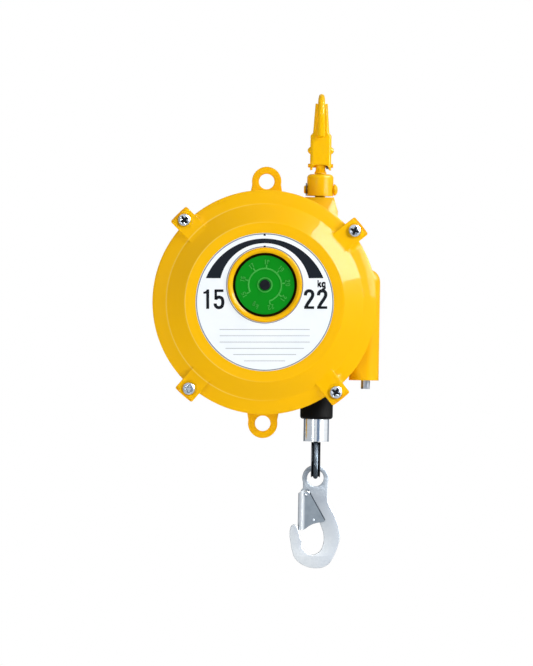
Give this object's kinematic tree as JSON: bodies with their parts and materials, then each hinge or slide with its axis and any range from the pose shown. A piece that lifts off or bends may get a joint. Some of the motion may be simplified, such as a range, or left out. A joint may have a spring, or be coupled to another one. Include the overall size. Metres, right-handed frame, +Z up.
{
  "type": "tool balancer",
  "caption": "Round spring balancer for a hanging tool, with a swivel suspension hook, a geared load dial, a sprung rope drum and a snap hook on a short wire rope.",
  "frame": {"origin": "the saddle of the upper hook, the inside top of its bowl, where the object hangs", "axes": "+Z up along the load line, +X to the right seen from the dial side, +Y to the back"},
  "size_m": [0.2335, 0.14, 0.489],
  "materials": {
    "yellow_steel": "satin yellow enamel",
    "yellow_case": "gloss yellow enamel on a casting",
    "zinc_steel": "bright zinc",
    "dark_steel": "black oxide",
    "forged_zinc": "satin zinc on a forging",
    "plate_print": "printed sheet",
    "green_dial": "moulded, satin",
    "bronze": "machined",
    "cast_alloy": "as cast",
    "bright_alloy": "turned",
    "wire_rope": "stranded, galvanised",
    "black_rubber": "matt"
  },
  "bodies": {
    "hook": {"upper_hook": "yellow_steel", "hook_nut": "zinc_steel", "latch_pin": "zinc_steel"},
    "latch": {"upper_latch": "yellow_steel", "latch_spring": "dark_steel"},
    "swivel": {"swivel_cap": "yellow_steel", "hanger_pin": "zinc_steel", "pin_clip": "dark_steel", "thrust_washer": "zinc_steel"},
    "housing": {"rear_case": "yellow_case", "front_cover": "yellow_case", "cover_screws": "zinc_steel", "rating_plate": "plate_print", "front_bush": "bronze", "rope_guide": "bronze", "bearing_outer": "zinc_steel", "bearing_balls": "zinc_steel", "worm_plug": "bronze", "worm_bush": "bronze", "dial_screw": "dark_steel", "rear_cap": "yellow_case", "cap_screws": "zinc_steel"},
    "barrel": {"spring_barrel": "cast_alloy", "barrel_lid": "cast_alloy", "lid_screws": "zinc_steel", "worm_wheel": "bronze", "dial_pinion": "bronze", "mainspring": "dark_steel"},
    "dial": {"dial": "green_dial"},
    "worm": {"worm": "zinc_steel"},
    "drum": {"rope_drum": "cast_alloy", "rope_windings": "wire_rope", "drum_shaft": "zinc_steel", "shaft_key": "zinc_steel", "bearing_inner": "zinc_steel", "circlip": "dark_steel", "pawl_pin": "zinc_steel"},
    "pawl": {"safety_pawl": "zinc_steel"},
    "load_end": {"rubber_buffer": "black_rubber", "stopper_sleeve": "bright_alloy", "set_screws": "dark_steel", "load_rope": "wire_rope", "rope_loop": "wire_rope", "thimble": "zinc_steel"},
    "snap_hook": {"snap_hook": "forged_zinc", "gate_pin": "zinc_steel"},
    "snap_gate": {"snap_gate": "zinc_steel", "gate_spring": "dark_steel"}
  },
  "joints": [
    {"name": "latch_hinge", "type": "hinge", "parent": "hook", "child": "latch", "pos_m": [0, 0, -0.0646], "axis": [-1, 0, 0], "range_deg": [0, 18], "stiffness_Nm_per_rad": 0.05, "springref_deg": -28.65},
    {"name": "cap_swivel", "type": "hinge", "parent": "hook", "child": "swivel", "pos_m": [0, 0, -0.085], "axis": [0, 0, 1], "continuous": true},
    {"name": "hanger_swing", "type": "hinge", "parent": "swivel", "child": "housing", "pos_m": [0, 0, -0.0893], "axis": [1, 0, 0], "range_deg": [-5, 5]},
    {"name": "barrel_turn", "type": "hinge", "parent": "housing", "child": "barrel", "pos_m": [-0.0553, 0, -0.2065], "axis": [0, 1, 0], "range_deg": [-546.67, 386.67]},
    {"name": "dial_turn", "type": "hinge", "parent": "housing", "child": "dial", "pos_m": [-0.0553, 0, -0.189], "axis": [0, 1, 0], "range_deg": [-165, 117]},
    {"name": "worm_turn", "type": "hinge", "parent": "housing", "child": "worm", "pos_m": [0.0497, -0.018, -0.2065], "axis": [0, 0, 1], "range_deg": [-53600, 37920]},
    {"name": "drum_turn", "type": "hinge", "parent": "housing", "child": "drum", "pos_m": [-0.0553, 0, -0.2065], "axis": [0, 1, 0], "range_deg": [0, 1350], "stiffness_Nm_per_rad": 0.125, "springref_deg": -4469.07},
    {"name": "rope_travel", "type": "slide", "parent": "housing", "child": "load_end", "axis": [0, 0, -1], "range_m": [0, 1.5], "deforming": ["load_rope"]},
    {"name": "snap_swing", "type": "hinge", "parent": "load_end", "child": "snap_hook", "pos_m": [0, 0, -0.3867], "axis": [0, 1, 0], "range_deg": [-40, 40]},
    {"name": "gate_hinge", "type": "hinge", "parent": "snap_hook", "child": "snap_gate", "pos_m": [-0.0085, 0, -0.4026], "axis": [0, -1, 0], "range_deg": [0, 26], "stiffness_Nm_per_rad": 0.05, "springref_deg": -28.65},
    {"name": "pawl_hinge", "type": "hinge", "parent": "drum", "child": "pawl", "pos_m": [-0.0553, 0, -0.1325], "axis": [0, -1, 0], "range_deg": [0, 45], "stiffness_Nm_per_rad": 0.05, "springref_deg": -28.65}
  ],
  "couplings": [
    {"joint": "dial_turn", "follows": "barrel_turn", "ratio": 0.3},
    {"joint": "worm_turn", "follows": "barrel_turn", "ratio": 98},
    {"joint": "rope_travel", "follows": "drum_turn", "m_per_rad": 0.06366}
  ]
}
